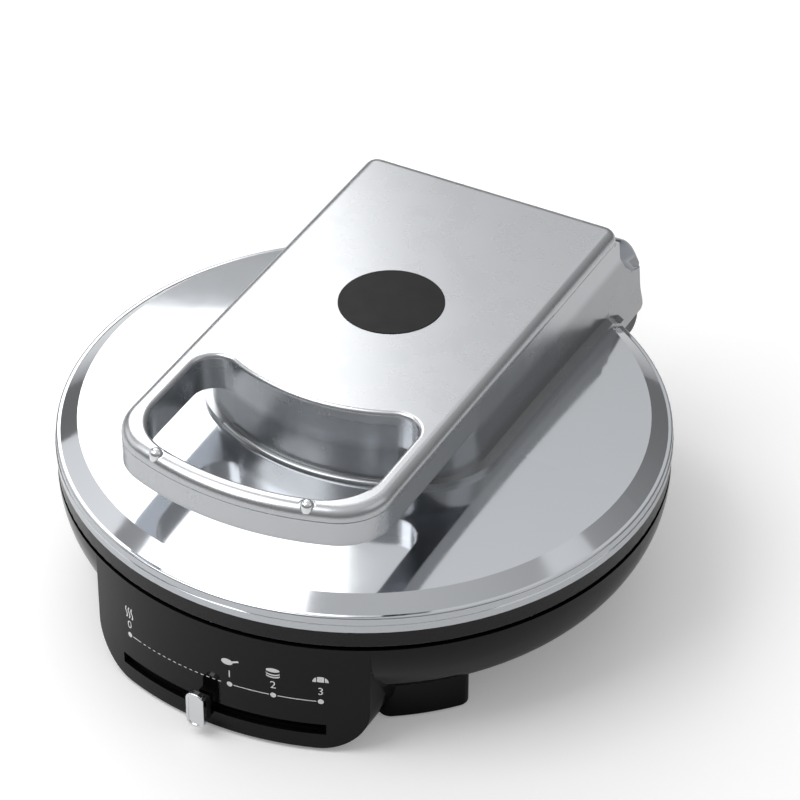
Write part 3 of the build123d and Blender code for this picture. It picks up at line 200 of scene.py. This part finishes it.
# Satin ABS of the slider's carriage, its track and the gland: fine spark-eroded grain
satin_black, tree, shader, place = start_material("satin_black_abs", "#1B1B1D", 0.0, 0.42, IOR=1.5)
relief(tree, shader, noise(tree, place, 0.35, 2.0), 0.03, 0.5)

# Black lacquer of the badge: deep, with slight changes in its gloss
badge_black, tree, shader, place = start_material(
    "badge_lacquer", "#0C0C0E", 0.0, 0.4, IOR=1.4, Specular_IOR_Level=0.3
)
vary_roughness(tree, shader, noise(tree, place, 11, 2.0), 0.36, 0.44)

# Non-stick coating on cast aluminium: dark grey with pale flecks and a fine pebble
coating, tree, shader, place = start_material("non_stick_coating", "#2A2A2C", 0.0, 0.45, IOR=1.38)
flecks = mask(tree, noise(tree, place, 1.6, 3.0), 0.62, 0.68)
vary_color(tree, shader, flecks, "#29292B", "#5E5F62")
vary_roughness(tree, shader, noise(tree, place, 3, 2.0), 0.38, 0.52)
relief(tree, shader, noise(tree, place, 0.9, 2.0), 0.03, 0.5)

# Rolled steel sheet of the shields and the bottom cover: grain along one direction
steel, tree, shader, place = start_material("rolled_steel_sheet", "#A9ABAD", 1.0, 0.36)
grain = noise(tree, place, 1.0, 3.0, stretch=(0.05, 1.6, 1))
vary_roughness(tree, shader, grain, 0.3, 0.46)
vary_color(tree, shader, grain, "#9C9EA0", "#B9BBBD")
relief(tree, shader, grain, 0.01, 0.3)

# Zinc-plated steel of screws, pins and blocks: pale, slightly blotched by the passivation
zinc, tree, shader, place = start_material("zinc_plated_steel", "#B7B9BC", 1.0, 0.3)
blotch = noise(tree, place, 2.5, 2.0)
vary_color(tree, shader, blotch, "#A5A9AF", "#C6C3BA")
vary_roughness(tree, shader, blotch, 0.24, 0.4)

# Heating tube: stainless sheath browned by use
heated, tree, shader, place = start_material("heat_tinted_steel", "#6E645C", 1.0, 0.42)
vary_color(tree, shader, noise(tree, place, 14, 3.0), "#4A423D", "#857C75")

# Brass of contacts and thermostat cans: warm, with dull patches of tarnish
brass, tree, shader, place = start_material("tarnished_brass", "#B99A5B", 1.0, 0.32)
vary_color(tree, shader, noise(tree, place, 3, 3.0), "#8E7442", "#C6A96B")

# Urea moulding of the terminal block: chalky off-white
ivory, tree, shader, place = start_material("ivory_urea_moulding", "#D8D4C6", 0.0, 0.5, IOR=1.5)
vary_color(tree, shader, noise(tree, place, 8, 3.0), "#CFCBBC", "#DEDACD")
relief(tree, shader, noise(tree, place, 0.5, 2.0), 0.02, 0.4)

# Phenolic paper board: brown, with the mottle of the paper under the resin
laminate, tree, shader, place = start_material(
    "phenolic_paper_board", "#7B5A33", 0.0, 0.4, IOR=1.5
)
vary_color(tree, shader, noise(tree, place, 1.5, 4.0), "#6A4B28", "#8C683D")

# Moulded rubber of the feet: matt, dusty black
rubber, tree, shader, place = start_material("moulded_rubber", "#1E1E1E", 0.0, 0.75, IOR=1.5)
vary_color(tree, shader, noise(tree, place, 2, 3.0), "#1A1A1A", "#292828")
relief(tree, shader, noise(tree, place, 0.5, 2.0), 0.05, 0.5)

# Pad print on the panel: thin white ink, a little uneven
ink, tree, shader, place = start_material("white_pad_print", "#E9E9E9", 0.0, 0.45, IOR=1.5)
vary_color(tree, shader, noise(tree, place, 0.8, 2.0), "#DCDCDC", "#F2F2F2")

finishes = {
    satin_plating: ("handle_cover",),
    lower_plating: ("handle_base",),
    bright_plating: ("lid_shell",),
    chrome: ("slider_paddle", "rest_studs"),
    gloss_black: ("base_shell",),
    ring_black: ("lid_frame",),
    satin_black: ("slider_carriage", "selector_track", "mains_gland"),
    badge_black: ("badge_disc",),
    coating: ("lower_plate", "upper_plate"),
    steel: ("bottom_cover", "lower_heat_shield", "upper_heat_shield"),
    zinc: (
        "bottom_screws",
        "lower_plate_screws",
        "track_screws",
        "frame_screws",
        "upper_plate_screws",
        "handle_screws",
        "hinge_pins",
        "hinge_blocks",
    ),
    heated: ("lower_heater", "upper_heater"),
    brass: ("lower_thermostat", "upper_thermostat", "thermal_fuse", "contact_spring"),
    ivory: ("terminal_block",),
    laminate: ("selector_board",),
    rubber: ("rubber_feet",),
}
for finish, names in finishes.items():
    for name in names:
        nodes[name].data.materials.clear()
        nodes[name].data.materials.append(finish)


# Panel print: drawn flat, in millimetres along the panel and above the table,
# then laid round the curved front

PANEL_RADIUS = 169.5
PRINT_LIFT = 0.06           # thickness of the ink
STATION_ANGLES = (-19.4, 3.6, 12.0, 20.7)
DOT_RADIUS = 1.65
LINE_HEIGHT = 35.7
LINE_WIDTH = 0.55
DASHED_GAP = 2.6            # from a dot's middle to the dashed line
SOLID_END = 9.0             # from the first dot's middle to where the dashes start
DASH = 1.8
DASH_SPACE = 1.8
SOLID_GAP = 2.4             # from a dot's middle to the solid lines
SOLID_STEPS = 6             # pieces of a solid line, so that it bends with the panel
NUMBER_HEIGHT = 42.6
NUMBER_SIZE = 7.0
SIGN_HEIGHT = 51.0
WAVE_STEPS = 12


def along(angle):
    """Distance along the panel for an angle from its middle."""
    return math.radians(angle) * PANEL_RADIUS


def ribbon(shape, points, width):
    """Adds a flat stroke through the points to a bmesh."""
    points = [Vector(p) for p in points]
    last = len(points) - 1
    sides = []
    for i, point in enumerate(points):
        run = (points[min(i + 1, last)] - points[max(i - 1, 0)]).normalized()
        across = Vector((-run.y, run.x)) * width / 2
        sides.append([shape.verts.new((*(point + s * across), 0)) for s in (1, -1)])
    for (a, b), (c, d) in zip(sides, sides[1:]):
        shape.faces.new((a, b, d, c))


def patch(shape, points):
    """Adds a filled outline to a bmesh."""
    shape.faces.new([shape.verts.new((*point, 0)) for point in points])


def arc(middle, half_width, half_height, start=0, end=360, steps=20):
    """Points of an ellipse from the start to the end angle."""
    turns = [math.radians(start + (end - start) * k / steps) for k in range(steps + 1)]
    return [
        (middle[0] + half_width * math.cos(t), middle[1] + half_height * math.sin(t))
        for t in turns
    ]


def oval(shape, middle, half_width, half_height):
    """Adds a filled ellipse to a bmesh."""
    patch(shape, arc(middle, half_width, half_height)[1:])


def lay_on_panel(name, shape):
    """Turns a flat bmesh into a printed piece on the curved panel."""
    bmesh.ops.recalc_face_normals(shape, faces=shape.faces)
    for vert in shape.verts:
        turn = vert.co.x / PANEL_RADIUS
        radius = PANEL_RADIUS + PRINT_LIFT
        vert.co = Vector((radius * math.sin(turn), -radius * math.cos(turn), vert.co.y)) * MM
    mesh = bpy.data.meshes.new(name)
    shape.to_mesh(mesh)
    shape.free()
    made = put(name, mesh)
    mesh.materials.append(ink)
    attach(made, "base")


def warmth_sign(shape, x):
    """Three wavy lines of rising heat."""
    spacing, swing, bottom, rise, width = 2.2, 0.6, -3.6, 0.6, 0.9
    for shift in (-spacing, 0, spacing):
        wave = [
            (
                x + shift + swing * math.sin(k / WAVE_STEPS * 2 * math.pi),
                SIGN_HEIGHT + bottom + k * rise,
            )
            for k in range(WAVE_STEPS + 1)
        ]
        ribbon(shape, wave, width)


def pan_sign(shape, x):
    """A frying pan, seen from above, with its handle to the right."""
    oval(shape, (x - 1.2, SIGN_HEIGHT), 3.4, 2.1)
    handle = [(x + 1.8, SIGN_HEIGHT + 0.6), (x + 5.6, SIGN_HEIGHT + 2.0)]
    ribbon(shape, handle, 1.2)


def stack_sign(shape, x):
    """A stack of pancakes: two edges under a whole one."""
    half_width, half_height, thickness = 3.8, 1.4, 0.9
    for lift in (-2.0, -0.4):
        edge = arc((x, SIGN_HEIGHT + lift), half_width, half_height, 180, 360)
        patch(shape, edge + [(u, v + thickness) for u, v in reversed(edge)])
    oval(shape, (x, SIGN_HEIGHT + 1.9), half_width, half_height)


def loaf_sign(shape, x):
    """A loaf cut in three."""
    bottom = SIGN_HEIGHT - 1.8
    for start, end in ((122, 180), (65, 115), (0, 58)):
        crust = arc((x, bottom), 4.4, 3.8, start, end, 8)
        patch(shape, crust + [(crust[-1][0], bottom), (crust[0][0], bottom)])


stations = [along(angle) for angle in STATION_ANGLES]

# dots, with a dashed line after the first and solid lines between the others
scale_print = bmesh.new()
for station in stations:
    oval(scale_print, (station, LINE_HEIGHT), DOT_RADIUS, DOT_RADIUS)
dash_start = stations[0] + SOLID_END
ribbon(
    scale_print,
    [(stations[0] + DASHED_GAP, LINE_HEIGHT), (dash_start, LINE_HEIGHT)],
    LINE_WIDTH,
)
while dash_start + DASH_SPACE + DASH < stations[1] - DASHED_GAP:
    dash_start += DASH_SPACE
    ribbon(
        scale_print, [(dash_start, LINE_HEIGHT), (dash_start + DASH, LINE_HEIGHT)], LINE_WIDTH
    )
    dash_start += DASH
for first, second in zip(stations[1:], stations[2:]):
    length = second - first - 2 * SOLID_GAP
    steps = [first + SOLID_GAP + length * k / SOLID_STEPS for k in range(SOLID_STEPS + 1)]
    ribbon(scale_print, [(s, LINE_HEIGHT) for s in steps], LINE_WIDTH)
lay_on_panel("panel_scale_print", scale_print)

sign_print = bmesh.new()
for station, sign in zip(stations, (warmth_sign, pan_sign, stack_sign, loaf_sign)):
    sign(sign_print, station)
lay_on_panel("panel_sign_print", sign_print)

for number, station in enumerate(stations):
    letters = bpy.data.curves.new("number", "FONT")
    letters.body = str(number)
    letters.size = NUMBER_SIZE
    letters.align_x = "CENTER"
    letters.align_y = "CENTER"
    holder = put("number", letters)
    bpy.context.view_layer.update()
    flat = bmesh.new()
    flat.from_mesh(holder.to_mesh())
    holder.to_mesh_clear()
    bpy.data.objects.remove(holder)
    bmesh.ops.translate(flat, verts=flat.verts, vec=(station, NUMBER_HEIGHT, 0))
    lay_on_panel(f"panel_number_{number}", flat)


# Forms that the solids lack: the foot bead across the finger opening and the rounded
# ends of the hinge lugs, both fitted over the solids

SHARP_ANGLE = 50            # edges that turn by more than this stay sharp

DOME_TOP = 106.0            # middle of the lid's top over the table
DOME_RISE = 4.6
DOME_RADIUS = 157.5

BEAD_BOW = 114.0            # radius of the pedestal's front wall
BEAD_MIDDLE_Y = 47.7
BEAD_END_X = 69.5
BEAD_END_OUT = 2.0          # the ends are measured this far out from the wall
BEAD_HALF_STEPS = 24
# across the bead: distance from the wall and height over the lid
BEAD_PROFILE = (
    (-0.8, -1.0), (-0.8, 3.0), (0.5, 3.0), (0.8, 2.5), (1.1, 2.5), (1.4, 2.95),
    (2.2, 3.0), (3.0, 2.7), (3.6, 2.1), (3.95, 1.2), (3.95, -1.0),
)

# the lug's top in side view is an arc, given by its centre in (y, z), radius and angles
LUG_ARC_MIDDLE = (143.78, 109.97)
LUG_ARC_RADIUS = 34.77
LUG_ARC_START = 72.9
LUG_ARC_END = 8.1
LUG_ARC_STEPS = 12
LUG_SEAM = ((154.0, 131.2), (160.2, 122.6), (167.7, 116.4), (177.0, 112.5))
# the lug's side wall leans in by LUG_WALL_LEAN over LUG_WALL_RISE above its foot
LUG_WALL_X = 84.0
LUG_WALL_LEAN = 4.6
LUG_WALL_FOOT = 85.0
LUG_WALL_RISE = 60.2
# from inside the lug to its side wall: depth under the wall, arc drawn in, seam raised
CAP_STEPS = (
    (7.0, 0.0, -6.0), (3.4, 0.0, -6.0), (2.2, 0.3, -4.0), (1.3, 1.0, -2.5),
    (0.7, 2.0, -1.5), (0.3, 3.4, -0.8), (0.12, 5.0, -0.4),
)


def skin(name, rings, finish, body):
    """Closed piece through a row of rings with equal point counts, in millimetres."""
    shape = bmesh.new()
    rows = [[shape.verts.new(Vector(p) * MM) for p in ring] for ring in rings]
    count = len(rows[0])
    for first, second in zip(rows, rows[1:]):
        for i in range(count):
            j = (i + 1) % count
            shape.faces.new((first[i], first[j], second[j], second[i]))
    shape.faces.new(rows[0])
    shape.faces.new(rows[-1])
    bmesh.ops.recalc_face_normals(shape, faces=shape.faces)
    mesh = bpy.data.meshes.new(name)
    shape.to_mesh(mesh)
    shape.free()
    mesh.shade_smooth()
    mesh.set_sharp_from_angle(angle=math.radians(SHARP_ANGLE))
    made = put(name, mesh)
    mesh.materials.append(finish)
    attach(made, body)


def dome_height(x, y):
    """Height of the lid's top above the table."""
    return DOME_TOP - DOME_RISE * (x * x + y * y) / DOME_RADIUS**2


def bead_ring(turn):
    """Section of the foot bead at an angle from its middle, in radians."""
    ring = []
    for out, up in BEAD_PROFILE:
        x = (BEAD_BOW + out) * math.sin(turn)
        y = BEAD_MIDDLE_Y - (BEAD_BOW + out) * math.cos(turn)
        ring.append((x, y, dome_height(x, y) + up))
    return ring


def lug_wall_x(z):
    """Outer side wall of the lug, which leans in towards the top."""
    return LUG_WALL_X - LUG_WALL_LEAN * (z - LUG_WALL_FOOT) / LUG_WALL_RISE


def cap_ring(side, depth, inset, raised):
    """Outline of a lug's rounded end at a depth under its side wall."""
    outline = []
    for k in range(LUG_ARC_STEPS + 1):
        share = k / LUG_ARC_STEPS
        turn = math.radians(LUG_ARC_START + (LUG_ARC_END - LUG_ARC_START) * k / LUG_ARC_STEPS)
        # the inset fades out at the lower end, where it would leave a crack
        radius = LUG_ARC_RADIUS - inset * (1 - share**3)
        outline.append(
            (
                LUG_ARC_MIDDLE[0] + radius * math.cos(turn),
                LUG_ARC_MIDDLE[1] + radius * math.sin(turn),
            )
        )
    outline += [(y, z + raised) for y, z in reversed(LUG_SEAM)]
    return [(side * (lug_wall_x(z) - depth), y, z) for y, z in outline]


end_turn = math.asin(BEAD_END_X / (BEAD_BOW + BEAD_END_OUT))
bead_turns = [end_turn * (k / BEAD_HALF_STEPS - 1) for k in range(2 * BEAD_HALF_STEPS + 1)]
skin("front_foot_bead", [bead_ring(turn) for turn in bead_turns], lower_plating, "lid")

for side, label in ((1, "right"), (-1, "left")):
    cap_rings = [cap_ring(side, *step) for step in CAP_STEPS]
    # the caps' finish has a darker base colour that paints a dark reflection on them
    skin(f"lug_cap_{label}", cap_rings, lug_painted_reflection_plating, "lid")


# Floor, light and camera

CENTRE_HEIGHT = 85.0        # camera and lamps face the pan's axis at this height
CENTRE = Vector((0, 0, CENTRE_HEIGHT * MM))
CAMERA_AZIMUTH = 28.71
CAMERA_ELEVATION = 37.95
CAMERA_ROLL = -0.28
CAMERA_DISTANCE = 2206.0
CAMERA_SENSOR = 36
CAMERA_LENS = 180
CAMERA_SHIFT = (0.0445, 0.0391)
CAMERA_REACH = 20           # metres
FLOOR_HALF = 4              # metres
FLOOR_LIFT = 0.22           # white added to the paper that the camera sees
SKY_LOW, SKY_HIGH = 0.1, 0.8    # strength of the world at the horizon and overhead
SKY_POWER = 2.0             # how fast it falls from overhead to the horizon
GLOSSY_SHARE = 0.15         # share of the white backdrop in reflections
WHITE = (1, 1, 1, 1)

floor_mesh = bpy.data.meshes.new("floor")
corners = ((-1, -1), (1, -1), (1, 1), (-1, 1))
floor_mesh.from_pydata(
    [(x * FLOOR_HALF, y * FLOOR_HALF, 0) for x, y in corners], [], [(0, 1, 2, 3)]
)
floor = put("floor", floor_mesh)
paper, tree, shader, place = start_material("white_paper_floor", "#F4F4F4", 0.0, 0.8)
camera_ray = add_node(tree, "ShaderNodeLightPath").outputs["Is Camera Ray"]
lifted = combine(tree, "MULTIPLY", {0: camera_ray}, {1: FLOOR_LIFT})
shader.inputs["Emission Color"].default_value = WHITE
tree.links.new(lifted, shader.inputs["Emission Strength"])
floor_mesh.materials.append(paper)

# the studio is bright overhead and darker at the horizon, and white to the camera
world = bpy.data.worlds.new("studio")
bpy.context.scene.world = world
world.use_nodes = True
tree = world.node_tree
backdrop = tree.nodes["Background"]
sky = add_node(tree, "ShaderNodeTexCoord").outputs["Generated"]
height = add_node(tree, "ShaderNodeSeparateXYZ", links={0: sky}).outputs["Z"]
steep = combine(tree, "POWER", {0: height}, {1: SKY_POWER})
strength = add_node(
    tree,
    "ShaderNodeMapRange",
    links={"Value": steep},
    values={"From Min": 0.0, "From Max": 1.0, "To Min": SKY_LOW, "To Max": SKY_HIGH},
)
tree.links.new(strength.outputs["Result"], backdrop.inputs["Strength"])
backdrop.inputs["Color"].default_value = WHITE
white = add_node(tree, "ShaderNodeBackground", values={"Color": WHITE, "Strength": 1.0})
ray = add_node(tree, "ShaderNodeLightPath").outputs
seen = combine(tree, "MAXIMUM", {0: ray["Is Camera Ray"], 1: ray["Is Transmission Ray"]})
mirrored = combine(tree, "MULTIPLY", {0: ray["Is Glossy Ray"]}, {1: GLOSSY_SHARE})
share = combine(tree, "MAXIMUM", {0: seen, 1: mirrored})
mixed = add_node(
    tree,
    "ShaderNodeMixShader",
    links={0: share, 1: backdrop.outputs[0], 2: white.outputs[0]},
)
tree.links.new(mixed.outputs[0], tree.nodes["World Output"].inputs["Surface"])


def direction(azimuth, elevation):
    turn, lift = math.radians(azimuth), math.radians(elevation)
    return Vector(
        (math.sin(turn) * math.cos(lift), -math.cos(turn) * math.cos(lift), math.sin(lift))
    )


def soft_box(name, azimuth, elevation, distance, width, height, power, spin=0):
    """Area light that faces the pan, turned in its plane by spin; lengths in metres."""
    lamp = bpy.data.lights.new(name, "AREA")
    lamp.shape = "RECTANGLE"
    lamp.size = width
    lamp.size_y = height
    lamp.energy = power
    made = put(name, lamp)
    away = direction(azimuth, elevation)
    made.location = away * distance + CENTRE
    facing = away.to_track_quat("Z", "Y").to_matrix()
    made.rotation_euler = (facing @ Matrix.Rotation(math.radians(spin), 3, "Z")).to_euler()


soft_box("key_light", -40, 55, 1.8, 1.2, 1.2, 14)
soft_box("fill_light", 100, 35, 2.2, 1.4, 1.0, 2)
soft_box("top_light", 232.4, 44.6, 0.89, 0.5, 0.55, 1.9, spin=-20)
soft_box("left_light", 278, 22, 2.0, 1.6, 0.9, 4)
soft_box("back_light", 208, 45, 2.2, 2.0, 1.4, 3.5)

camera_data = bpy.data.cameras.new("camera")
camera_data.sensor_width = CAMERA_SENSOR
camera_data.lens = CAMERA_LENS
camera_data.clip_end = CAMERA_REACH
camera_data.shift_x, camera_data.shift_y = CAMERA_SHIFT
camera = put("camera", camera_data)
camera.location = direction(CAMERA_AZIMUTH, CAMERA_ELEVATION) * CAMERA_DISTANCE * MM + CENTRE
tilt = math.pi / 2 - math.radians(CAMERA_ELEVATION)
facing = Euler((tilt, 0, math.radians(CAMERA_AZIMUTH))).to_matrix()
camera.rotation_euler = (facing @ Matrix.Rotation(math.radians(CAMERA_ROLL), 3, "Z")).to_euler()
bpy.context.scene.camera = camera
bpy.context.scene.view_settings.view_transform = "Standard"
